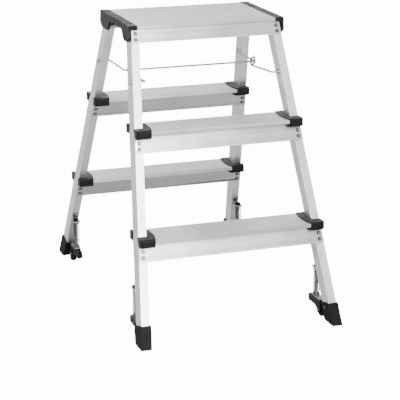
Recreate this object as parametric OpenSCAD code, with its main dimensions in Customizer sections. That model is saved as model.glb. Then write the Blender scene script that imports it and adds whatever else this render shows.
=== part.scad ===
// Double-sided folding step ladder. Two frames of two treads each are hinged under a
// platform that is split into a front and a rear half. A wire spreader joins the frames,
// and each leg carries a sprung roller beside its foot.
//
// Origin: on the floor, at the centre of the footprint. X runs across the treads, the
// front frame is at -Y, the rear frame is at +Y, and Z is up. Every piece is drawn once,
// for the rear right leg, and mirrored to the other legs.

/* [Platform] */
// Height of the standing surface above the floor
platform_z = 700; // [696:1:704]
// Depth of the whole platform, from front edge to rear edge
platform_depth = 244; // [243:1:246]
// Half the length of the aluminium surface, up to the end caps
platform_half_length = 171.5; // [170:0.5:171.5]
// Half the width of the platform over its end caps
platform_half_width = 193; // [193:0.5:195]
// Gap between the two platform halves
seam_gap = 0.8; // [0.6:0.1:1.2]
// Height of the platform section, from the surface to the lower edge of the aprons
platform_section = 39.5; // [38:0.5:40]

/* [Treads] */
// Height of the lower tread
lower_tread_z = 241; // [239:1:243]
// Height of the upper tread
upper_tread_z = 473; // [471:1:475]
// How far a tread's surface stands out past the stile, on the climbing side
outer_overhang = 28; // [27:0.5:29]
// How far it stands out on the side under the platform
inner_overhang = 22; // [21:0.5:23]
// Height of the tread section, from the surface to the lower edge of the aprons
tread_section = 52; // [51:0.5:53]
// Height of the rolled nose on each edge of a tread
nose_h = 9.5; // [9:0.5:10.5]
// Height of the nose on the platform's edges
platform_nose_h = 8.5; // [8:0.5:9]
// Spacing of the grip grooves
groove_pitch = 5; // [4.5:0.5:6]

/* [Stiles] */
// Lean of each frame away from vertical, seen from the side
lean = 21.2; // [21.1:0.1:21.3]
// Splay of each stile away from vertical, seen from the front
splay = 5.2; // [5.1:0.1:5.3]
// Depth of the stile's tube, square to its length
stile_depth = 40; // [39.5:0.5:40.5]
// Width of the stile's tube
stile_width = 19.5; // [19:0.5:20]
// Wall of the stile's tube
stile_wall = 2; // [1.8:0.1:2.2]
// Distance of the stile's outer side from the centre at platform height, across
stile_top_x = 183; // [182.5:0.5:183]
// Distance of the stile's outer face from the centre at platform height, front to back
stile_top_y = 108; // [107.5:0.5:108.5]

/* [Hinge] */
// Depth of the hinge axis below the standing surface
hinge_drop = 12; // [12:0.5:13]
// Diameter of the hinge pins
hinge_pin_d = 6; // [5:0.5:6.5]

/* [Spreader] */
// Height of the spreader's pivots
spreader_z = 572; // [568:1:576]
// Diameter of the spreader's wire
wire_d = 5; // [4.5:0.5:5]

/* [Rollers] */
// Diameter of the wheels
wheel_d = 36; // [34:1:36]
// Width of the wheels
wheel_w = 13; // [12:0.5:13]
// Distance of the spring's axis from the centre, front to back
spring_y = 271; // [270:0.5:272]
// Outer diameter of the spring
spring_d = 17.6; // [17:0.2:18]
// Height of the feet above the floor while the ladder stands on its wheels
foot_gap = 3; // [2.5:0.5:4]

/* [Hidden] */
$fn = 48;

LEFT = -1;
RIGHT = 1;
FRONT = -1;
REAR = 1;
eps = 0.01;
reach = 500;             // longer than any piece, for cutting
fit = 0.05;              // radial clearance of a turning or sliding shaft
snug = 0.3;              // gap between a moulded cap and the tube it wraps

// Stile planes: y and x of its faces at height z
lean_slope = tan(lean);
splay_slope = tan(splay);
stile_run = stile_depth / cos(lean);
wall_run_y = stile_wall / cos(lean);
wall_run_x = stile_wall / cos(splay);
function outer_y(z) = stile_top_y + (platform_z - z) * lean_slope;
function inner_y(z) = outer_y(z) - stile_run;
function mid_y(z) = outer_y(z) - stile_run / 2;
function outer_x(z) = stile_top_x + (platform_z - z) * splay_slope;
function inner_x(z) = outer_x(z) - stile_width / cos(splay);
function mid_x(z) = (outer_x(z) + inner_x(z)) / 2;

stile_top_z = platform_z - 8;
stile_bottom_z = foot_gap + 5;

// Aprons: the two flanges of a tread or platform section that straddle the stile
apron_t = 2;
apron_run = apron_t / cos(lean);
plate_t = 3;
lip_t = 2.4;
lip_return = 6;
groove_w = 1.6;
groove_deep = 0.7;
edge = 1.2;              // small chamfer on the extrusions

// Tread caps
cap_h = 17.5;            // height of a cap's nose block below the surface
cap_proud = 2.5;         // the caps stand this far above the aluminium
cap_beyond = 1.2;        // and this far past its nose
cap_inside = 13;         // reach of a cap inwards from the stile, at its ends
cap_bow = 7;             // sagitta of its curved inner edge
cap_outside = 2.5;       // reach of a cap outwards past the stile
cap_slot_h = 11;         // depth of the aluminium cut away for the cap
cap_corner = 6;          // radius of the outer corners, in plan
cap_round = 4.5;         // radius of the nose's edges
corner_steps = 5;        // facets to a rounded corner

// Platform caps
cap_wall_x = 187.2;      // inner face of the platform cap's side wall
cap_top_t = 3.8;
cap_gap = 3.4;           // between the caps of the two halves

// Rivets
rivet_r = 2.4;
rivet_hole_r = 2.5;
rivet_head_r = 4.8;
rivet_head_h = 1.8;
tread_rivet_drops = [30, 43];
platform_rivet_drops = [19, 32];
bracket_rivet_z = 130;

// Hinge plates: the front pair lies inside the rear pair
hinge_z = platform_z - hinge_drop;
hinge_pin_r = hinge_pin_d / 2;
hinge_eye_r = 8;
hinge_plate_t = 3.5;
front_plate_x = 174;
rear_plate_x = front_plate_x + hinge_plate_t + 0.5;
hinge_tang_z = 645;      // lower end of the plate inside the stile
hinge_slot_z = 667;      // lower end of the slot in the stile
hinge_slot_x = [front_plate_x - 0.5, rear_plate_x + hinge_plate_t + 0.5];
hinge_rivet_z = 672;

// Spreader
wire_r = wire_d / 2;
spreader_y = mid_y(spreader_z);
bar_arm_x = inner_x(spreader_z) - 6.5;
link_x = bar_arm_x - 10;
pivot_bend = 4;          // centre-line radius of the bend at a pivot
corner_bend = 6;         // centre-line radius of the bend at a corner of the bar
retainer_r = 6;
washer_t = 1.5;
eye_y = 1.8;             // near end of the eye's slot, beyond the bar
eye_len = 16;            // length of the slot between its end centres
eye_tilt = 27.5;         // the slot rises towards the link's pivot
eye_r = wire_r + 3.6;    // half the height of the slot
eye_rim = 3;
link_drop = eye_r + wire_r + 0.4;   // the link's wire runs this far below the bar

// Rollers: the wheel runs on the outer side of a single arm
roller_x = mid_x(65) - 3;
wheel_r = wheel_d / 2;
wheel_x = roller_x + 3;
wheel_y = spring_y + 29;
wheel_in_x = wheel_x - wheel_w / 2;
wheel_out_x = wheel_x + wheel_w / 2;
axle_r = 2;
stem_r = 4;
stem_top_z = 125;
flange_z = 116;          // underside of the bracket's flange
flange_t = 2.5;
plate_z = 44;            // underside of the stem's plate
stem_plate_t = 2.5;
spring_bottom_z = plate_z + stem_plate_t;
spring_wire = 2;
arm_t = 4;
arm_x = wheel_in_x - 0.5 - arm_t;
housing_roof_z = 38.5;
housing_bottom_z = 24;   // lower edge of the housing before the wheel
nose_y = 239;            // inner end of the housing
housing_front_y = spring_y - 13;
housing_back_y = 310;    // its outer end, at roof height

// Feet
foot_wall = 3.2;
foot_top_outer_z = 54;
foot_top_inner_z = 44;
foot_rivet_z = 38;

/* ---- placing and sections ---- */

// Mirrors a rear right piece to the leg on the given side of the given frame
module at_leg(side, frame) {
    mirror([side < 0 ? 1 : 0, 0, 0])
        mirror([0, frame < 0 ? 1 : 0, 0])
            children();
}

// Draws a rear right piece on both sides of a frame
module both_sides(frame) {
    for (side = [LEFT, RIGHT])
        at_leg(side, frame) children();
}

// Extrudes an outline drawn in (y, z) from x0 to x1
module along_x(x0, x1) {
    translate([x0, 0, 0])
        rotate([90, 0, 90])
            linear_extrude(x1 - x0) children();
}

// Extrudes an outline drawn in (x, z) from y0 to y1
module along_y(y0, y1) {
    translate([0, y1, 0])
        rotate([90, 0, 0])
            linear_extrude(y1 - y0) children();
}

// The stile's outline, grown by g on every side, between two heights
module leg_bar(g, z0, z1) {
    gy = g / cos(lean);
    gx = g / cos(splay);
    intersection() {
        along_x(0, reach)
            polygon([
                [inner_y(z0) - gy, z0], [outer_y(z0) + gy, z0],
                [outer_y(z1) + gy, z1], [inner_y(z1) - gy, z1]
            ]);
        along_y(0, reach)
            polygon([
                [inner_x(z0) - gx, z0], [outer_x(z0) + gx, z0],
                [outer_x(z1) + gx, z1], [inner_x(z1) - gx, z1]
            ]);
    }
}

// Everything between the outer sides of the two stiles, lowered from z1 to z0
module between_stiles(z0, z1) {
    along_y(-reach, reach)
        polygon([
            [-outer_x(z0), z0], [outer_x(z0), z0],
            [outer_x(z1), z1], [-outer_x(z1), z1]
        ]);
}

// Puts +Z of its children on the outward normal of the stile's outer or inner face
module on_outer_face(z) {
    translate([mid_x(z), outer_y(z), z])
        rotate([lean - 90, 0, 0]) children();
}

module on_inner_face(z) {
    translate([mid_x(z), inner_y(z), z])
        rotate([lean + 90, 0, 0]) children();
}

// Rivet whose head rests at height grip above the face it goes into
module rivet(grip) {
    translate([0, 0, -stile_wall])
        cylinder(r = rivet_r, h = grip + stile_wall + eps);
    translate([0, 0, grip])
        cylinder(r1 = rivet_head_r, r2 = rivet_head_r * 0.62, h = rivet_head_h);
}

module rivet_hole(grip) {
    translate([0, 0, -stile_wall - 1])
        cylinder(r = rivet_hole_r, h = grip + stile_wall + 2);
}

// Heights of the rivets through the aprons on one stile. The hinge plates take the
// place of the platform's inner rivets.
inner_rivet_zs = [for (top = [lower_tread_z, upper_tread_z], d = tread_rivet_drops) top - d];
outer_rivet_zs = concat(inner_rivet_zs, [for (d = platform_rivet_drops) platform_z - d]);

module apron_rivet_holes() {
    for (z = outer_rivet_zs)
        on_outer_face(z) rivet_hole(apron_t);
    for (z = inner_rivet_zs)
        on_inner_face(z) rivet_hole(apron_t);
}

module hinge_rivet_hole() {
    translate([inner_x(hinge_rivet_z) - 3, mid_y(hinge_rivet_z), hinge_rivet_z])
        rotate([0, 90, 0])
            cylinder(r = rivet_hole_r, h = stile_width + 6);
}

// Slot that lets the hinge plates leave the stile towards the hinge axis
module hinge_slot() {
    y0 = inner_y(platform_z) - 8;
    y1 = inner_y(hinge_slot_z) + wall_run_y + 1;
    translate([hinge_slot_x[0], y0, hinge_slot_z])
        cube([hinge_slot_x[1] - hinge_slot_x[0], y1 - y0, platform_z - plate_t - hinge_slot_z]);
}

/* ---- frames ---- */

module stile(side, frame) {
    color("gainsboro")
        at_leg(side, frame)
            difference() {
                leg_bar(0, stile_bottom_z, stile_top_z);
                leg_bar(-stile_wall, stile_bottom_z - 1, stile_top_z + 1);
                hinge_slot();
                hinge_rivet_hole();
                apron_rivet_holes();
                on_inner_face(bracket_rivet_z) rivet_hole(flange_t);
                translate([inner_x(spreader_z) - 5, spreader_y, spreader_z])
                    rotate([0, 90, 0])
                        cylinder(r = wire_r + fit, h = stile_width + 10);
            }
}

// Points of one nose, drawn for the edge at y = b, from its lower inside to its top
function nose_outline(b, top, h) = [
    [b - lip_t, top - plate_t],
    [b - lip_t, top - h + lip_t],
    [b - lip_return, top - h + lip_t],
    [b - lip_return, top - h],
    [b - edge, top - h],
    [b, top - h + edge],
    [b, top - edge],
    [b - edge, top]
];

// Points of the grip grooves between two edges, from high y to low y
function groove_outline(y0, y1, top) =
    let (n = floor((y1 - y0 - 2 * groove_pitch) / groove_pitch),
         start = (y0 + y1) / 2 + n * groove_pitch / 2)
    [for (i = [0:n], p = [
        [groove_w / 2, 0], [groove_w / 2, -groove_deep],
        [-groove_w / 2, -groove_deep], [-groove_w / 2, 0]
    ]) [start - i * groove_pitch + p[0], top + p[1]]];

function mirror_at(points, y) =
    [for (i = [len(points) - 1:-1:0]) [2 * y - points[i][0], points[i][1]]];

// Tread section: a grooved plate with two noses and two aprons that follow the stile
function tread_outline(top) =
    let (y0 = inner_y(top) - inner_overhang,
         y1 = outer_y(top) + outer_overhang,
         root = top - plate_t,
         foot = top - tread_section)
    concat(
        nose_outline(y1, top, nose_h),
        groove_outline(y0, y1, top),
        mirror_at(nose_outline(y1, top, nose_h), (y0 + y1) / 2),
        [
            [inner_y(root) - apron_run, root], [inner_y(foot) - apron_run, foot],
            [inner_y(foot), foot], [inner_y(root), root],
            [outer_y(root), root], [outer_y(foot), foot],
            [outer_y(foot) + apron_run, foot], [outer_y(root) + apron_run, root]
        ]
    );

module tread(frame, top) {
    color("silver")
        at_leg(RIGHT, frame)
            difference() {
                intersection() {
                    along_x(-reach / 2, reach / 2) polygon(tread_outline(top));
                    between_stiles(top - tread_section - 1, top + 1);
                }
                for (side = [LEFT, RIGHT])
                    at_leg(side, REAR) {
                        translate([0, 0, top - cap_slot_h])
                            linear_extrude(cap_slot_h + 1) cap_plan(top, 0.2, reach);
                        apron_rivet_holes();
                    }
            }
}

// Platform half: a grooved plate with a nose, a seam lip and two aprons
function platform_outline() =
    let (y0 = seam_gap / 2,
         y1 = platform_depth / 2,
         root = platform_z - plate_t,
         foot = platform_z - platform_section)
    concat(
        nose_outline(y1, platform_z, platform_nose_h),
        groove_outline(y0, y1, platform_z),
        [
            [y0, platform_z], [y0, hinge_z + 2.5], [y0 + lip_t, hinge_z + 2.5],
            [y0 + lip_t, root],
            [inner_y(root) - apron_run, root], [inner_y(foot) - apron_run, foot],
            [inner_y(foot), foot], [inner_y(root), root],
            [outer_y(root), root], [outer_y(foot), foot],
            [outer_y(foot) + apron_run, foot], [outer_y(root) + apron_run, root]
        ]
    );

module platform_half(frame) {
    cut_h = 10;
    color("lightgray")
        at_leg(RIGHT, frame)
            difference() {
                intersection() {
                    along_x(-reach / 2, reach / 2) polygon(platform_outline());
                    between_stiles(platform_z - platform_section - 1, platform_z + 1);
                }
                for (side = [LEFT, RIGHT])
                    at_leg(side, REAR) {
                        translate([platform_half_length, -eps, platform_z - cut_h])
                            cube([reach, reach, cut_h + 1]);
                        hinge_slot();
                        apron_rivet_holes();
                    }
            }
}

/* ---- moulded caps and feet ---- */

// Points round a corner, from one heading to the next, counter-clockwise
function corner(c, r, start) =
    [for (i = [0:corner_steps])
        let (a = start + 90 * i / corner_steps)
        c + r * [cos(a), sin(a)]];

// Ends of a tread cap, front to back
function cap_low_y(top) = inner_y(top) - inner_overhang - cap_beyond;
function cap_high_y(top) = outer_y(top) + outer_overhang + cap_beyond;

// Plan of a tread cap, grown by g: a bowed inner edge, and outer corners at x = far
module cap_plan(top, g, far) {
    low = cap_low_y(top) - g;
    high = cap_high_y(top) + g;
    half = (high - low) / 2;
    bow_r = (half * half + cap_bow * cap_bow) / (2 * cap_bow);
    x0 = inner_x(top) - cap_inside - cap_bow - g;
    r = cap_corner;
    intersection() {
        translate([x0 + bow_r, (low + high) / 2]) circle(r = bow_r, $fn = 360);
        polygon(concat(
            [[x0 - 1, low]],
            corner([min(far, x0 + bow_r) - r, low + r], r, -90),
            corner([min(far, x0 + bow_r) - r, high - r], r, 0),
            [[x0 - 1, high]]
        ));
    }
}

// One nose block of a tread cap, in (y, z), for the face at y = near and the tip at y = tip
module cap_nose_outline(near_top, near_slot, near_bottom, tip, top) {
    s = sign(tip - near_top);
    r = cap_round;
    high = top + cap_proud;
    low = top - cap_h;
    upper = corner([0, 0], r, 0);
    lower = corner([0, 0], r, -90);
    polygon(concat(
        [[near_top, high], [near_slot, top - cap_slot_h], [near_bottom, low]],
        [for (p = lower) [tip - s * (r - p[0]), low + r + p[1]]],
        [for (p = upper) [tip - s * (r - p[0]), high - r + p[1]]]
    ));
}

module tread_cap(side, frame, top) {
    high = top + cap_proud;
    slot = top - cap_slot_h;
    low = top - cap_h;
    x0 = inner_x(top) - cap_inside - cap_bow - 1;
    x1 = outer_x(top) + cap_outside;
    web_x = inner_x(high) - snug;
    color("dimgray")
        at_leg(side, frame)
            intersection() {
                translate([0, 0, low - 1])
                    linear_extrude(cap_h + cap_proud + 2) cap_plan(top, 0, x1);
                union() {
                    along_x(x0, x1)
                        cap_nose_outline(outer_y(high) + snug + 0.5, outer_y(slot) + apron_run,
                                         outer_y(low) + apron_run, cap_high_y(top), top);
                    along_x(x0, x1)
                        cap_nose_outline(inner_y(high) - snug, inner_y(slot) - apron_run,
                                         inner_y(low) - apron_run, cap_low_y(top), top);
                    // web beside the stile, in the slot of the aluminium
                    translate([x0, inner_y(high) - 2, slot + 4])
                        cube([web_x - x0, outer_y(high) - inner_y(high) + 6, high - slot - 4]);
                }
            }
}

module platform_cap(side, frame) {
    y0 = cap_gap / 2;
    y1 = platform_depth / 2 + cap_beyond;
    top = platform_z + 1;
    arch_y = frame == FRONT ? 60 : 42;       // end of the arch over the hinge
    grooves = [30, 60, 90];
    color("gray")
        at_leg(side, frame)
            difference() {
                union() {
                    translate([platform_half_length + 0.2, y0, top - cap_top_t])
                        cube([platform_half_width - platform_half_length - 0.2, y1 - y0, cap_top_t]);
                    translate([platform_half_length + 0.2, y1 - 3.5, platform_z - 9])
                        cube([platform_half_width - platform_half_length - 0.2, 3.5, 9]);
                    along_x(cap_wall_x, platform_half_width)
                        polygon([
                            [y0, top], [y1, top], [y1, platform_z - 11],
                            [y1 + 2.5, platform_z - 27], [y1 - 2, platform_z - 33],
                            [y1 - 16, platform_z - 39], [arch_y + 22, platform_z - 40],
                            [arch_y + 12, platform_z - 34], [arch_y, platform_z - 17],
                            [arch_y - 14, platform_z - 15], [10, platform_z - 15],
                            [y0 + 1.5, platform_z - 9]
                        ]);
                }
                // shallow grip grooves across the top
                for (y = grooves)
                    translate([platform_half_length - 1, y, top])
                        rotate([0, 90, 0])
                            cylinder(r = 1.6, h = platform_half_width);
            }
}

module foot(side, frame) {
    ribs = 4;
    sole_run = stile_run + 2 * foot_wall;
    sole_y = inner_y(foot_gap) - foot_wall;
    sole_pitch = sole_run / (ribs + 1);
    color("dimgray")
        at_leg(side, frame)
            difference() {
                leg_bar(foot_wall, foot_gap, foot_top_outer_z);
                leg_bar(0, stile_bottom_z, foot_top_outer_z + 1);
                // the rim drops towards the inner face
                along_x(0, reach)
                    polygon([
                        [outer_y(foot_top_outer_z) - 2, foot_top_outer_z],
                        [outer_y(foot_top_outer_z) - 2, foot_top_outer_z + 1],
                        [inner_y(foot_top_outer_z) - 20, foot_top_outer_z + 1],
                        [inner_y(foot_top_inner_z) - 10, foot_top_inner_z - 2],
                        [inner_y(foot_top_inner_z), foot_top_inner_z]
                    ]);
                // grip grooves across the sole
                for (i = [1:ribs])
                    translate([0, sole_y + i * sole_pitch - 1, foot_gap - 1])
                        cube([reach, 2, 2.5]);
                // the sole's inner edge is cut away
                along_x(0, reach)
                    polygon([
                        [sole_y - 1, foot_gap - 1],
                        [sole_y + 5, foot_gap - 1],
                        [sole_y + 5, foot_gap],
                        [sole_y - 1, foot_gap + 6]
                    ]);
                foot_rivet_hole();
            }
}

module foot_rivet_hole() {
    translate([inner_x(foot_rivet_z) - foot_wall - 3, mid_y(foot_rivet_z), foot_rivet_z])
        rotate([0, 90, 0])
            cylinder(r = rivet_hole_r, h = foot_wall + 3.2);
}

module rivets(frame) {
    head_gap = 6;
    foot_face_x = inner_x(foot_rivet_z + rivet_head_r) - foot_wall / cos(splay);
    color("whitesmoke")
        both_sides(frame) {
            for (z = outer_rivet_zs)
                on_outer_face(z) rivet(apron_t);
            for (z = inner_rivet_zs)
                on_inner_face(z) rivet(apron_t);
            on_inner_face(bracket_rivet_z) rivet(flange_t);
            // foot rivet, from the inner side
            translate([0, mid_y(foot_rivet_z), foot_rivet_z])
                rotate([0, 90, 0]) {
                    translate([0, 0, foot_face_x - 1.6])
                        cylinder(r1 = 3.2, r2 = rivet_head_r, h = 1.6);
                    translate([0, 0, foot_face_x - 0.5])
                        cylinder(r = rivet_r, h = foot_wall + 0.5);
                }
            // hinge plate rivet, through the stile
            translate([0, mid_y(hinge_rivet_z), hinge_rivet_z])
                rotate([0, 90, 0]) {
                    translate([0, 0, inner_x(hinge_rivet_z + head_gap) - 1.5])
                        cylinder(r = rivet_head_r, h = 1.5);
                    translate([0, 0, inner_x(hinge_rivet_z + head_gap) - 1])
                        cylinder(r = rivet_r, h = stile_width + 2.4);
                    translate([0, 0, outer_x(hinge_rivet_z - head_gap)])
                        cylinder(r = rivet_head_r, h = 1);
                }
        }
}

/* ---- hinge ---- */

module hinge_plate_outline() {
    clear = wall_run_y + 0.4;
    top = platform_z - 4;
    difference() {
        union() {
            translate([0, hinge_z]) circle(r = hinge_eye_r);
            polygon([
                [0, top], [104, top],
                [outer_y(stile_top_z) - clear, stile_top_z],
                [outer_y(hinge_tang_z) - clear, hinge_tang_z],
                [inner_y(hinge_tang_z) + clear, hinge_tang_z],
                [inner_y(hinge_slot_z) + clear, hinge_slot_z],
                [inner_y(hinge_slot_z) - 12, hinge_slot_z + 3],
                [3, hinge_z - hinge_eye_r + 0.6]
            ]);
        }
        translate([0, hinge_z]) circle(r = hinge_pin_r + fit);
        translate([mid_y(hinge_rivet_z), hinge_rivet_z]) circle(r = rivet_hole_r);
    }
}

module hinge_plates(frame) {
    x0 = frame == FRONT ? front_plate_x : rear_plate_x;
    color("silver")
        both_sides(frame)
            along_x(x0, x0 + hinge_plate_t) hinge_plate_outline();
}

module hinge_pins() {
    head = 1.8;
    inside = front_plate_x - 0.2;
    outside = rear_plate_x + hinge_plate_t + 0.2;
    color("slategray")
        both_sides(FRONT)
            translate([0, 0, hinge_z])
                rotate([0, 90, 0]) {
                    translate([0, 0, inside - head])
                        cylinder(r = hinge_pin_r + 2, h = head);
                    translate([0, 0, inside - 1])
                        cylinder(r = hinge_pin_r, h = outside - inside + 2);
                    translate([0, 0, outside])
                        cylinder(r = hinge_pin_r + 2, h = head);
                }
}

/* ---- spreader ---- */

// Round wire from one point to another along X or Y
module wire_x(x0, x1, y, z) {
    translate([x0, y, z])
        rotate([0, 90, 0]) cylinder(r = wire_r, h = x1 - x0);
}

module wire_y(x, y0, y1, z) {
    translate([x, y1, z])
        rotate([90, 0, 0]) cylinder(r = wire_r, h = y1 - y0);
}

// Quarter bend of wire in the XY plane around a centre, starting at the given angle
module wire_bend(x, y, z, bend, start) {
    translate([x, y, z])
        rotate([0, 0, start])
            rotate_extrude(angle = 90)
                translate([bend, 0]) circle(r = wire_r);
}

// Half of the U-shaped bar, from the middle of its cross wire to its right pivot
module spreader_bar_half() {
    wire_x(-eps, bar_arm_x - corner_bend, 0, spreader_z);
    wire_bend(bar_arm_x - corner_bend, corner_bend, spreader_z, corner_bend, -90);
    wire_y(bar_arm_x, corner_bend, spreader_y - pivot_bend, spreader_z);
    wire_bend(bar_arm_x + pivot_bend, spreader_y - pivot_bend, spreader_z, pivot_bend, 90);
    wire_x(bar_arm_x + pivot_bend, outer_x(spreader_z) + 2, spreader_y, spreader_z);
}

module spreader_bar() {
    color("darkgray")
        for (side = [LEFT, RIGHT])
            at_leg(side, REAR) spreader_bar_half();
}

// Sloping eye that holds the bar with play, drawn in (y, z)
module eye_outline(r) {
    far = eye_len * [cos(eye_tilt), sin(eye_tilt)];
    side = r * [-sin(eye_tilt), cos(eye_tilt)];
    circle(r = r);
    translate(far) circle(r = r);
    polygon([side, -side, far - side, far + side]);
}

module spreader_link(side) {
    eye_w = 4;
    rise = atan(link_drop / (spreader_y - pivot_bend - eye_y));
    run = (spreader_y - pivot_bend - eye_y) / cos(rise);
    color("darkgray")
        at_leg(side, FRONT) {
            along_x(link_x - eye_w / 2, link_x + eye_w / 2)
                translate([eye_y, spreader_z])
                    difference() {
                        eye_outline(eye_r + eye_rim);
                        eye_outline(eye_r);
                    }
            // wire from under the eye up to the pivot
            translate([link_x, eye_y, spreader_z - link_drop]) {
                sphere(r = wire_r);
                rotate([rise - 90, 0, 0]) cylinder(r = wire_r, h = run);
            }
            wire_bend(link_x + pivot_bend, spreader_y - pivot_bend, spreader_z, pivot_bend, 90);
            wire_x(link_x + pivot_bend, outer_x(spreader_z) + 2, spreader_y, spreader_z);
        }
}

// Washer inside the stile and cap nut outside it, both on the wire's end
module retainer() {
    tilt = retainer_r * splay_slope;
    outside = outer_x(spreader_z) + tilt + 0.1;
    inside = inner_x(spreader_z) - tilt - 0.1;
    translate([0, spreader_y, spreader_z])
        rotate([0, 90, 0]) {
            difference() {
                translate([0, 0, outside])
                    cylinder(r1 = retainer_r, r2 = retainer_r - 1.5, h = 4.5);
                cylinder(r = wire_r, h = outer_x(spreader_z) + 2);
            }
            translate([0, 0, inside - washer_t])
                difference() {
                    cylinder(r = retainer_r, h = washer_t);
                    translate([0, 0, -1]) cylinder(r = wire_r, h = washer_t + 2);
                }
        }
}

module spreader_bar_retainers() {
    color("lightsteelblue") both_sides(REAR) retainer();
}

module spreader_link_retainer(side) {
    color("lightsteelblue") at_leg(side, FRONT) retainer();
}

/* ---- sprung rollers ---- */

module spring_brackets(frame) {
    plate_top_z = 139;
    run = flange_t / cos(lean);
    color("lightsteelblue")
        both_sides(frame)
            difference() {
                union() {
                    along_x(roller_x - 9, roller_x + 9)
                        polygon([
                            [spring_y - 12, flange_z], [inner_y(flange_z), flange_z],
                            [inner_y(flange_z + flange_t), flange_z + flange_t],
                            [spring_y - 12, flange_z + flange_t]
                        ]);
                    along_x(mid_x(plate_top_z) - 6, roller_x + 5)
                        polygon([
                            [inner_y(flange_z) - run, flange_z], [inner_y(flange_z), flange_z],
                            [inner_y(plate_top_z), plate_top_z],
                            [inner_y(plate_top_z) - run, plate_top_z]
                        ]);
                }
                translate([roller_x, spring_y, flange_z - 1])
                    cylinder(r = stem_r + fit, h = flange_t + 2);
                on_inner_face(bracket_rivet_z) rivet_hole(flange_t);
            }
}

module roller_stem(side, frame) {
    collar_r = 6.2;
    nut_af = 13;
    color("lightsteelblue")
        at_leg(side, frame)
            translate([roller_x, spring_y, 0]) {
                translate([-8, -13, plate_z]) cube([16, 50, stem_plate_t]);
                translate([0, 0, housing_roof_z + 1])
                    cylinder(r = stem_r, h = stem_top_z - housing_roof_z - 1);
                translate([0, 0, plate_z]) cylinder(r = collar_r, h = 7);
                translate([0, 0, flange_z + flange_t + 0.1])
                    cylinder(r = nut_af / sqrt(3), h = 5, $fn = 6);
            }
}

// Envelope of the coil spring between the stem's plate and the bracket's flange
module spring(side, frame) {
    color("lightsteelblue")
        at_leg(side, frame)
            translate([roller_x, spring_y, spring_bottom_z])
                difference() {
                    cylinder(r = spring_d / 2, h = flange_z - spring_bottom_z);
                    translate([0, 0, -1])
                        cylinder(r = spring_d / 2 - spring_wire, h = flange_z - spring_bottom_z + 2);
                }
}

module roller_housing(side, frame) {
    core_x = roller_x + 7;
    core_y = wheel_y - wheel_r - 1.5;
    boss_r = 9;
    color("dimgray")
        at_leg(side, frame)
            difference() {
                union() {
                    // arm that carries the axle
                    along_x(arm_x, arm_x + arm_t)
                        union() {
                            polygon([
                                [housing_front_y, plate_z], [housing_back_y, plate_z],
                                [wheel_y + boss_r, 30], [wheel_y + boss_r, wheel_r],
                                [wheel_y - boss_r, wheel_r], [core_y, housing_bottom_z],
                                [housing_front_y, housing_bottom_z]
                            ]);
                            translate([wheel_y, wheel_r]) circle(r = boss_r);
                        }
                    // roof over the wheel, and core before it
                    along_x(arm_x, wheel_out_x)
                        polygon([
                            [housing_front_y, plate_z], [housing_back_y, plate_z],
                            [housing_back_y, housing_roof_z], [housing_front_y, housing_roof_z]
                        ]);
                    along_x(arm_x, core_x)
                        polygon([
                            [housing_front_y, plate_z], [core_y, plate_z],
                            [core_y, housing_bottom_z], [housing_front_y, housing_bottom_z]
                        ]);
                    // nose at the inner end
                    along_x(arm_x + 1, core_x - 1)
                        polygon([
                            [nose_y, 38], [nose_y + 3, 41], [housing_front_y + 1, 41],
                            [housing_front_y + 1, housing_bottom_z],
                            [nose_y + 4, housing_bottom_z - 2], [nose_y, housing_bottom_z + 1]
                        ]);
                }
                translate([roller_x, spring_y, housing_roof_z + 1])
                    cylinder(r = stem_r, h = plate_z);
                translate([arm_x - 1, wheel_y, wheel_r])
                    rotate([0, 90, 0]) cylinder(r = axle_r, h = arm_t + 2);
            }
}

module axle(side, frame) {
    head_r = 3.6;
    head_h = 1.2;
    head_gap = 0.3;
    color("slategray")
        at_leg(side, frame)
            translate([0, wheel_y, wheel_r])
                rotate([0, 90, 0]) {
                    translate([0, 0, arm_x - 0.5])
                        cylinder(r = axle_r, h = wheel_out_x + head_gap - arm_x + 1);
                    for (x = [arm_x - head_h, wheel_out_x + head_gap])
                        translate([0, 0, x]) cylinder(r = head_r, h = head_h);
                }
}

module wheel(side, frame) {
    crown = 3;
    half = wheel_w / 2;
    color("dimgray")
        at_leg(side, frame)
            translate([wheel_x, wheel_y, wheel_r])
                rotate([0, 90, 0])
                    rotate_extrude($fn = 96)
                        polygon([
                            [axle_r + fit, -half], [wheel_r - crown, -half],
                            [wheel_r - 0.8, -half + 1.8], [wheel_r, -half + 4],
                            [wheel_r, half - 4], [wheel_r - 0.8, half - 1.8],
                            [wheel_r - crown, half], [axle_r + fit, half]
                        ]);
}

/* ---- assembly ---- */

stile(LEFT, FRONT);  // front_left_stile
stile(RIGHT, FRONT);  // front_right_stile
stile(LEFT, REAR);  // rear_left_stile
stile(RIGHT, REAR);  // rear_right_stile

tread(FRONT, lower_tread_z);  // front_lower_tread
tread(FRONT, upper_tread_z);  // front_upper_tread
tread(REAR, lower_tread_z);  // rear_lower_tread
tread(REAR, upper_tread_z);  // rear_upper_tread
platform_half(FRONT);  // front_platform_half
platform_half(REAR);  // rear_platform_half

tread_cap(LEFT, FRONT, lower_tread_z);  // front_lower_left_cap
tread_cap(RIGHT, FRONT, lower_tread_z);  // front_lower_right_cap
tread_cap(LEFT, FRONT, upper_tread_z);  // front_upper_left_cap
tread_cap(RIGHT, FRONT, upper_tread_z);  // front_upper_right_cap
tread_cap(LEFT, REAR, lower_tread_z);  // rear_lower_left_cap
tread_cap(RIGHT, REAR, lower_tread_z);  // rear_lower_right_cap
tread_cap(LEFT, REAR, upper_tread_z);  // rear_upper_left_cap
tread_cap(RIGHT, REAR, upper_tread_z);  // rear_upper_right_cap

platform_cap(LEFT, FRONT);  // front_left_platform_cap
platform_cap(RIGHT, FRONT);  // front_right_platform_cap
platform_cap(LEFT, REAR);  // rear_left_platform_cap
platform_cap(RIGHT, REAR);  // rear_right_platform_cap

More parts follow.
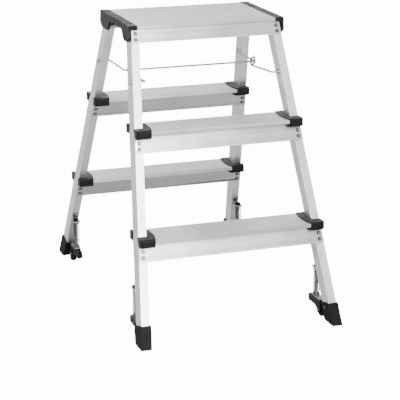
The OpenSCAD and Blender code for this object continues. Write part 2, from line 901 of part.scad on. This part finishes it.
foot(LEFT, FRONT);  // front_left_foot
foot(RIGHT, FRONT);  // front_right_foot
foot(LEFT, REAR);  // rear_left_foot
foot(RIGHT, REAR);  // rear_right_foot

rivets(FRONT);  // front_rivets
rivets(REAR);  // rear_rivets
hinge_plates(FRONT);  // front_hinge_plates
hinge_plates(REAR);  // rear_hinge_plates
hinge_pins();

spring_brackets(FRONT);  // front_spring_brackets
spring_brackets(REAR);  // rear_spring_brackets

spreader_bar();
spreader_link(LEFT);  // spreader_link_left
spreader_link(RIGHT);  // spreader_link_right
spreader_bar_retainers();
spreader_link_retainer(LEFT);  // spreader_link_left_retainer
spreader_link_retainer(RIGHT);  // spreader_link_right_retainer

roller_stem(LEFT, FRONT);  // front_left_roller_stem
roller_stem(RIGHT, FRONT);  // front_right_roller_stem
roller_stem(LEFT, REAR);  // rear_left_roller_stem
roller_stem(RIGHT, REAR);  // rear_right_roller_stem
spring(LEFT, FRONT);  // front_left_spring
spring(RIGHT, FRONT);  // front_right_spring
spring(LEFT, REAR);  // rear_left_spring
spring(RIGHT, REAR);  // rear_right_spring
roller_housing(LEFT, FRONT);  // front_left_roller_housing
roller_housing(RIGHT, FRONT);  // front_right_roller_housing
roller_housing(LEFT, REAR);  // rear_left_roller_housing
roller_housing(RIGHT, REAR);  // rear_right_roller_housing
axle(LEFT, FRONT);  // front_left_axle
axle(RIGHT, FRONT);  // front_right_axle
axle(LEFT, REAR);  // rear_left_axle
axle(RIGHT, REAR);  // rear_right_axle
wheel(LEFT, FRONT);  // front_left_wheel
wheel(RIGHT, FRONT);  // front_right_wheel
wheel(LEFT, REAR);  // rear_left_wheel
wheel(RIGHT, REAR);  // rear_right_wheel
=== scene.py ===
"""Looks of a double-sided folding step ladder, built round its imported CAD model."""

import math

import bpy
from mathutils import Matrix, Vector


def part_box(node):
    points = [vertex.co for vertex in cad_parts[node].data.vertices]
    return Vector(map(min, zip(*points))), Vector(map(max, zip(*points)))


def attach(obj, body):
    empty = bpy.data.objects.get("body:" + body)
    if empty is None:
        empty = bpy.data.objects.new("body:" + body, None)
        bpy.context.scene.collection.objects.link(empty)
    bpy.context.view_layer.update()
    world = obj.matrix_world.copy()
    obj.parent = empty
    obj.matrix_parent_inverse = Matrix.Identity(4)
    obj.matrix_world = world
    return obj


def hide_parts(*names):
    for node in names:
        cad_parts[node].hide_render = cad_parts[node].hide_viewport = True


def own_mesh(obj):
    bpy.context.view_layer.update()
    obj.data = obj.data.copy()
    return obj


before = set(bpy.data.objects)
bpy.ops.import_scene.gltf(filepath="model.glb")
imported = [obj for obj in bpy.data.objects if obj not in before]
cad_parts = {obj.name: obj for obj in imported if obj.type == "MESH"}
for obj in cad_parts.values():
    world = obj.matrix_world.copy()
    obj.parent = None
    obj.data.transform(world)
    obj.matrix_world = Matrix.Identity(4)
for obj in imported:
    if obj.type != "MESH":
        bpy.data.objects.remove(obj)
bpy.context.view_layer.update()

SIDES = {"left": -1, "right": 1}
FRAMES = {"front": -1, "rear": 1}
LEAN_ANGLE = math.radians(21.2)          # lean of each frame, seen from the side
LEAN = math.tan(LEAN_ANGLE)
SPLAY = math.tan(math.radians(5.2))      # slope of each stile, seen from the front
MM = 0.001
BACKDROP_GLOW = 13.0                     # brightness that only the camera sees


# ---- node helpers ----

class Shader:
    """A material with a Principled surface, and short calls that add nodes to it."""

    def __init__(self, name, roughness, metallic=0.0, specular=0.5, coat=0.0):
        self.material = bpy.data.materials.new(name)
        self.material.use_nodes = True
        self.tree = self.material.node_tree
        self.surface = self.tree.nodes["Principled BSDF"]
        self.surface.inputs["Roughness"].default_value = roughness
        self.surface.inputs["Metallic"].default_value = metallic
        self.surface.inputs["Specular IOR Level"].default_value = specular
        self.surface.inputs["Coat Weight"].default_value = coat
        self.surface.inputs["Coat Roughness"].default_value = 0.2
        self.position = self.tree.nodes.new("ShaderNodeTexCoord").outputs["Object"]
        self.height = None

    def node(self, kind, **values):
        made = self.tree.nodes.new(kind)
        for key, value in values.items():
            setattr(made, key, value)
        return made

    def link(self, a, b):
        self.tree.links.new(a, b)

    def math(self, operation, a, b=0.0):
        made = self.node("ShaderNodeMath", operation=operation)
        for socket, value in zip(made.inputs, (a, b)):
            if isinstance(value, (int, float)):
                socket.default_value = value
            else:
                self.link(value, socket)
        return made.outputs[0]

    def along(self, direction, scale):
        """The surface point's distance along a direction, times a scale."""
        dot = self.node("ShaderNodeVectorMath", operation="DOT_PRODUCT")
        self.link(self.position, dot.inputs[0])
        dot.inputs[1].default_value = [scale * c for c in direction]
        return dot.outputs["Value"]

    def stretched(self, across, other, length, scales):
        """Coordinates that are fine across a grain and long along it."""
        joined = self.node("ShaderNodeCombineXYZ")
        for socket, direction, scale in zip(joined.inputs, (across, other, length), scales):
            self.link(self.along(direction, scale), socket)
        return joined.outputs[0]

    def noise(self, scale, detail=3.0, vector=None, roughness=0.5):
        made = self.node("ShaderNodeTexNoise")
        made.inputs["Scale"].default_value = scale
        made.inputs["Detail"].default_value = detail
        made.inputs["Roughness"].default_value = roughness
        self.link(vector or self.position, made.inputs["Vector"])
        return made.outputs["Fac"]

    def ramp(self, value, low, high, start=0.3, end=0.7):
        """Maps a value between two numbers or two colours."""
        made = self.node("ShaderNodeValToRGB")
        made.color_ramp.elements[0].position = start
        made.color_ramp.elements[1].position = end
        for element, tone in zip(made.color_ramp.elements, (low, high)):
            colour = (tone, tone, tone) if isinstance(tone, (int, float)) else tone
            element.color = (*colour, 1.0)
        self.link(value, made.inputs["Fac"])
        return made.outputs["Color"]

    def colour(self, value):
        self.link(value, self.surface.inputs["Base Color"])

    def rough(self, value):
        self.link(value, self.surface.inputs["Roughness"])

    def bump(self, value, strength, distance):
        """Adds a layer of relief over the ones before it."""
        made = self.node("ShaderNodeBump")
        made.inputs["Strength"].default_value = strength
        made.inputs["Distance"].default_value = distance
        self.link(value, made.inputs["Height"])
        if self.height:
            self.link(self.height, made.inputs["Normal"])
        self.height = made.outputs["Normal"]
        self.link(self.height, self.surface.inputs["Normal"])


def mixed(shader, a, b, factor=0.5):
    """A weighted average of two grey outputs, where the factor is the share of the second."""
    return shader.math("ADD", shader.math("MULTIPLY", a, 1 - factor), shader.math("MULTIPLY", b, factor))


# ---- materials ----

def brushed_aluminium(name, across, other, length, tone, streaks, blue=0.0):
    """Satin anodised extrusion with die lines along one direction, fine ones over broad ones."""
    s = Shader(name, 0.32, metallic=0.9)
    lines = s.noise(1.0, 4.0, s.stretched(across, other, length, (1400, 1400, 5)), 0.6)
    bands = s.noise(1.0, 3.0, s.stretched(across, other, length, (170, 170, 0.9)), 0.7)
    cloud = s.noise(9.0, 3.0)
    tint = mixed(s, mixed(s, lines, bands, 0.65), cloud, 0.2)
    hue = (1 - blue, 1, 1 + blue)
    dark = [tone * (1 - streaks) * c for c in hue]
    light = [tone * (1 + streaks) * c for c in hue]
    s.colour(s.ramp(tint, dark, light))
    s.rough(s.ramp(mixed(s, lines, cloud), 0.26, 0.42))
    s.bump(lines, 0.22, 0.00012)
    s.bump(bands, 0.20, 0.0002)
    return s.material


def plated_steel(name, tone, roughness):
    """Zinc plate with a faint spangle and small scuffs."""
    s = Shader(name, roughness, metallic=0.92)
    spangle = s.noise(420.0, 3.0)
    scuffs = s.noise(60.0, 5.0, roughness=0.7)
    dark = (tone * 0.82, tone * 0.83, tone * 0.85)
    light = (tone, tone, tone * 1.03)
    s.colour(s.ramp(mixed(s, spangle, scuffs), dark, light))
    s.rough(s.ramp(scuffs, roughness - 0.07, roughness + 0.10))
    s.bump(spangle, 0.10, 0.0001)
    return s.material


def rivet_steel(name):
    """Bright where a head's flat middle faces out, with painted shade round its sloping rim."""
    s = Shader(name, 0.34, metallic=0.9)
    normal = s.node("ShaderNodeTexCoord").outputs["Normal"]
    flat = 0.0
    out, up = math.cos(LEAN_ANGLE), math.sin(LEAN_ANGLE)
    for axis in ((1, 0, 0), (0, out, up), (0, out, -up)):
        dot = s.node("ShaderNodeVectorMath", operation="DOT_PRODUCT")
        s.link(normal, dot.inputs[0])
        dot.inputs[1].default_value = axis
        flat = s.math("MAXIMUM", flat, s.math("ABSOLUTE", dot.outputs["Value"]))
    scuffs = s.math("MULTIPLY", s.noise(300.0, 4.0), 0.02)
    # painted shade: near black wherever the head's surface slopes away from the flat faces
    rim = (0.008, 0.008, 0.009)
    middle = (0.20, 0.205, 0.21)
    s.colour(s.ramp(s.math("SUBTRACT", flat, scuffs), rim, middle, 0.965, 0.99))
    return s.material


def stem_steel(name):
    """Zinc-plated stem and plate, under a nut with a black finish."""
    s = Shader(name, 0.34, metallic=0.85)
    nut_bottom = 116 * MM
    nut = s.ramp(s.along((0, 0, 1), 1.0), 0.0, 1.0, nut_bottom - 0.5 * MM, nut_bottom)
    spangle = s.math("MULTIPLY", s.noise(420.0, 3.0), 0.2)
    zinc = (0.34, 0.35, 0.36)
    black = (0.012, 0.012, 0.013)
    s.colour(s.ramp(s.math("SUBTRACT", nut, spangle), zinc, black, 0.0, 0.6))
    return s.material


def moulded_plastic(name, dark, light, roughness, grain=1500.0):
    """Moulded plastic: spark-eroded grain, slow colour drift, and sheen worn into it in places."""
    s = Shader(name, roughness, specular=0.12)
    fine = s.noise(grain, 2.0)
    drift = s.noise(22.0, 3.0)
    s.colour(s.ramp(mixed(s, fine, drift, 0.6), dark, light))
    s.rough(s.ramp(drift, roughness - 0.08, roughness + 0.10))
    s.bump(fine, 0.30, 0.00015)
    return s.material


def rubber(name, dark, light):
    """Matt rubber with a mottled bloom, lighter towards the floor, and fine pitting."""
    s = Shader(name, 0.62, specular=0.12)
    pits = s.noise(1100.0, 3.0)
    bloom = s.noise(45.0, 4.0, roughness=0.6)
    low = s.math("SUBTRACT", 1.0, s.along((0, 0, 1), 16.0))
    s.colour(s.ramp(mixed(s, bloom, low, 0.25), dark, light, 0.35, 0.9))
    s.rough(s.ramp(pits, 0.54, 0.72))
    s.bump(pits, 0.35, 0.0002)
    return s.material


def floor_paper(name):
    """White seamless floor. It looks brighter to the camera than to the object."""
    s = Shader(name, 0.14, specular=0.5)
    s.surface.inputs["Base Color"].default_value = (0.36, 0.36, 0.36, 1.0)
    s.surface.inputs["Emission Color"].default_value = (1.0, 1.0, 1.0, 1.0)
    seen = s.node("ShaderNodeLightPath").outputs["Is Camera Ray"]
    s.link(s.math("MULTIPLY", seen, BACKDROP_GLOW), s.surface.inputs["Emission Strength"])
    return s.material


def stile_material(side, front):
    """The grain runs up the leaning stile."""
    return brushed_aluminium(
        f"stile_{front}_{side}",
        (1, 0, SIDES[side] * SPLAY),
        (0, 1, FRAMES[front] * LEAN),
        (0, 0, 1),
        0.84,
        0.09,
    )


BLACK = (0.0018, 0.0018, 0.0019)
SOFT_BLACK = (0.0075, 0.0075, 0.0079)
tread_metal = brushed_aluminium("tread_extrusion", (0, 1, 0), (0, 0, 1), (1, 0, 0), 0.60, 0.32, 0.03)
rivet_metal = rivet_steel("rivet_steel")
nut_metal = plated_steel("nut_zinc", 0.36, 0.34)
bracket_metal = plated_steel("bracket_zinc", 0.48, 0.34)
axle_metal = plated_steel("axle_zinc", 0.50, 0.36)
wire_metal = plated_steel("wire_zinc", 0.38, 0.30)
spring_metal = plated_steel("spring_bright", 0.10, 0.24)
stem_metal = stem_steel("stem_steel")
cap_plastic = moulded_plastic("cap_plastic", BLACK, SOFT_BLACK, 0.42)
platform_cap_plastic = moulded_plastic("platform_cap_plastic", BLACK, SOFT_BLACK, 0.40)
housing_plastic = moulded_plastic("housing_plastic", BLACK, SOFT_BLACK, 0.40)
foot_rubber = rubber("foot_rubber", BLACK, (0.0055, 0.0055, 0.0058))
wheel_rubber = rubber("wheel_rubber", BLACK, (0.0070, 0.0070, 0.0074))

MATERIALS = [
    ("_tread", tread_metal),
    ("_platform_half", tread_metal),
    ("_platform_cap", platform_cap_plastic),
    ("_cap", cap_plastic),
    ("_foot", foot_rubber),
    ("_rivets", rivet_metal),
    ("_hinge_plates", bracket_metal),
    ("_spring_brackets", bracket_metal),
    ("_stem", stem_metal),
    ("hinge_pins", axle_metal),
    ("_axle", axle_metal),
    ("_housing", housing_plastic),
    ("_wheel", wheel_rubber),
    ("_retainers", nut_metal),
    ("_retainer", nut_metal),
    ("spreader_bar", wire_metal),
    ("spreader_link_left", wire_metal),
    ("spreader_link_right", wire_metal),
]

# Rounding of the edges, in mm, where it isn't the usual amount
EDGES = {"_cap": 0.8, "_foot": 0.7, "_housing": 1.0, "_stile": 1.5, "_wheel": 0.4}
USUAL_EDGE = 0.25


def paint(obj, material):
    obj.data.materials.clear()
    obj.data.materials.append(material)


def round_edges(obj, width):
    """Joins the imported faces and gives every sharp edge a small radius."""
    weld = obj.modifiers.new("weld", "WELD")
    weld.merge_threshold = 0.00001
    bevel = obj.modifiers.new("bevel", "BEVEL")
    bevel.width = width * MM
    bevel.segments = 3
    bevel.limit_method = "ANGLE"
    bevel.angle_limit = math.radians(35)


def finish_for(node):
    """A piece's material, from the end of its name. The pieces that match no ending are stiles."""
    for ending, material in MATERIALS:
        if node.endswith(ending):
            return material
    front, side = node.split("_")[:2]
    return stile_material(side, front)


def dress_cad():
    """Paints and rounds every CAD piece but the springs, which coils replace."""
    for node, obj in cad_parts.items():
        if node.endswith("_spring"):
            continue
        paint(obj, finish_for(node))
        width = next((w for ending, w in EDGES.items() if node.endswith(ending)), USUAL_EDGE)
        round_edges(obj, width)


# ---- springs ----

SPRING_TURNS = 15
WIRE_R = 1.2 * MM
TURN_STEPS = 24          # points to a turn
WIRE_SIDES = 8           # points round the wire


def coil_centre(t, centre, radius, low, high):
    """Point of the coil at t from 0 to 1, with a closed turn at each end."""
    turns = SPRING_TURNS * t
    dead = 1.0 / SPRING_TURNS
    eased = min(max((t - dead * 0.8) / (1 - 1.6 * dead), 0.0), 1.0)
    rise = eased * (high - low - 4 * WIRE_R) + min(turns, 1.0) * WIRE_R
    rise += max(turns - SPRING_TURNS + 1, 0.0) * WIRE_R
    angle = 2 * math.pi * turns
    return Vector((
        centre[0] + radius * math.cos(angle),
        centre[1] + radius * math.sin(angle),
        low + WIRE_R + rise,
    ))


def coil(name, low, high):
    """A coil spring that fills a box, as one swept tube."""
    centre = ((low[0] + high[0]) / 2, (low[1] + high[1]) / 2)
    radius = (high[0] - low[0]) / 2 - WIRE_R
    count = SPRING_TURNS * TURN_STEPS
    points = [coil_centre(i / count, centre, radius, low[2], high[2]) for i in range(count + 1)]
    vertices = []
    for i, point in enumerate(points):
        after = points[min(i + 1, count)]
        before = points[max(i - 1, 0)]
        tangent = (after - before).normalized()
        outward = Vector((point.x - centre[0], point.y - centre[1], 0)).normalized()
        side = tangent.cross(outward).normalized()
        for k in range(WIRE_SIDES):
            turn = 2 * math.pi * k / WIRE_SIDES
            vertices.append(point + WIRE_R * (math.cos(turn) * outward + math.sin(turn) * side))
    faces = []
    for i in range(count):
        here = i * WIRE_SIDES
        there = here + WIRE_SIDES
        for k in range(WIRE_SIDES):
            after = (k + 1) % WIRE_SIDES
            faces.append((here + k, here + after, there + after, there + k))
    faces.append(tuple(range(WIRE_SIDES - 1, -1, -1)))
    faces.append(tuple(count * WIRE_SIDES + k for k in range(WIRE_SIDES)))
    mesh = bpy.data.meshes.new(name)
    mesh.from_pydata(vertices, [], faces)
    mesh.update()
    for polygon in mesh.polygons:
        polygon.use_smooth = True
    made = bpy.data.objects.new(name, mesh)
    bpy.context.scene.collection.objects.link(made)
    paint(made, spring_metal)
    return made


def add_springs():
    """A coil in the box of each CAD spring, riding with its roller's carriage."""
    for front in FRAMES:
        for side in SIDES:
            unit = f"{front}_{side}"
            low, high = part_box(f"{unit}_spring")
            spring = coil(f"{unit}_coil", low, high)
            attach(spring, f"{unit}_roller_carriage")
            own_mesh(spring)
            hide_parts(f"{unit}_spring")


# ---- studio ----

def add_camera():
    data = bpy.data.cameras.new("camera")
    data.lens = 137.6
    data.sensor_width = 36
    data.clip_start = 0.1
    data.clip_end = 60
    camera = bpy.data.objects.new("camera", data)
    camera.location = (-1.1818, -3.4717, 1.3254)
    camera.rotation_euler = (math.radians(90 - 16.632), 0, math.radians(-19.151))
    bpy.context.scene.collection.objects.link(camera)
    bpy.context.scene.camera = camera


def add_floor():
    reach = 14
    mesh = bpy.data.meshes.new("floor")
    corners = [(-reach, -reach, 0), (reach, -reach, 0), (reach, reach, 0), (-reach, reach, 0)]
    mesh.from_pydata(corners, [], [(0, 1, 2, 3)])
    floor = bpy.data.objects.new("floor", mesh)
    bpy.context.scene.collection.objects.link(floor)
    paint(floor, floor_paper("floor_paper"))


def add_area_light(name, place, target, width, height, power):
    data = bpy.data.lights.new(name, "AREA")
    data.shape = "RECTANGLE"
    data.size = width
    data.size_y = height
    data.energy = power
    light = bpy.data.objects.new(name, data)
    light.location = place
    light.rotation_euler = (Vector(target) - Vector(place)).to_track_quat("-Z", "Y").to_euler()
    bpy.context.scene.collection.objects.link(light)


def add_room(front, back):
    """A plain room, one brightness in front and another behind, and brighter to the camera."""
    world = bpy.data.worlds.new("studio")
    world.use_nodes = True
    tree = world.node_tree
    direction = tree.nodes.new("ShaderNodeTexCoord")
    split = tree.nodes.new("ShaderNodeSeparateXYZ")
    depth = tree.nodes.new("ShaderNodeMapRange")
    depth.inputs["From Min"].default_value = -0.8
    depth.inputs["From Max"].default_value = 0.8
    depth.inputs["To Min"].default_value = front
    depth.inputs["To Max"].default_value = back
    tree.links.new(direction.outputs["Generated"], split.inputs[0])
    tree.links.new(split.outputs["Y"], depth.inputs["Value"])
    seen = tree.nodes.new("ShaderNodeLightPath").outputs["Is Camera Ray"]
    strength = tree.nodes.new("ShaderNodeMath")
    strength.operation = "MULTIPLY_ADD"
    strength.inputs[1].default_value = BACKDROP_GLOW
    tree.links.new(seen, strength.inputs[0])
    tree.links.new(depth.outputs[0], strength.inputs[2])
    tree.links.new(strength.outputs[0], tree.nodes["Background"].inputs["Strength"])
    tree.nodes["Background"].inputs["Color"].default_value = (0.97, 0.985, 1.0, 1.0)
    bpy.context.scene.world = world


def add_lights():
    """A softbox in front on the left, a strip for the corners, a weak fill and one overhead."""
    add_room(0.60, 1.75)
    middle = (0, 0, 0.4)
    add_area_light("key", (-0.22, -2.3, 1.15), (-0.30, 0, 0.4), 0.7, 1.4, 130)
    add_area_light("fill", (3.0, -1.2, 1.6), middle, 1.6, 1.6, 2)
    add_area_light("edge", (-3.0, -1.6, 0.7), middle, 0.3, 1.8, 16)
    add_area_light("top", (0, 0.6, 3.2), middle, 2.4, 2.4, 40)


dress_cad()
add_springs()
add_floor()
add_camera()
add_lights()
